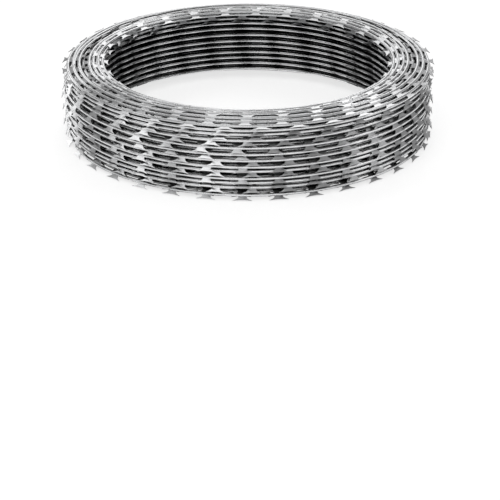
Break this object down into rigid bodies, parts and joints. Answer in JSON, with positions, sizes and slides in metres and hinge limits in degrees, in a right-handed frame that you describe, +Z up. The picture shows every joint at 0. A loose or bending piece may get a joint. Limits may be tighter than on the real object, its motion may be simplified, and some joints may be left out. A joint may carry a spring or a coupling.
{
  "type": "concertina razor wire coil",
  "caption": "Closed flat coil of galvanised razor wire: nested barbed turns wound in layers into a thick ring with an open bore.",
  "frame": {"origin": "middle of the bore, on the plane that the coil rests on", "axes": "+Z up along the coil's axis; X and Y lie in the rest plane"},
  "size_m": [0.4568, 0.4568, 0.0961],
  "materials": {
    "galvanised_steel": "bright galvanised"
  },
  "bodies": {
    "root": {"razor_wire_coil": "galvanised_steel"}
  },
  "joints": []
}
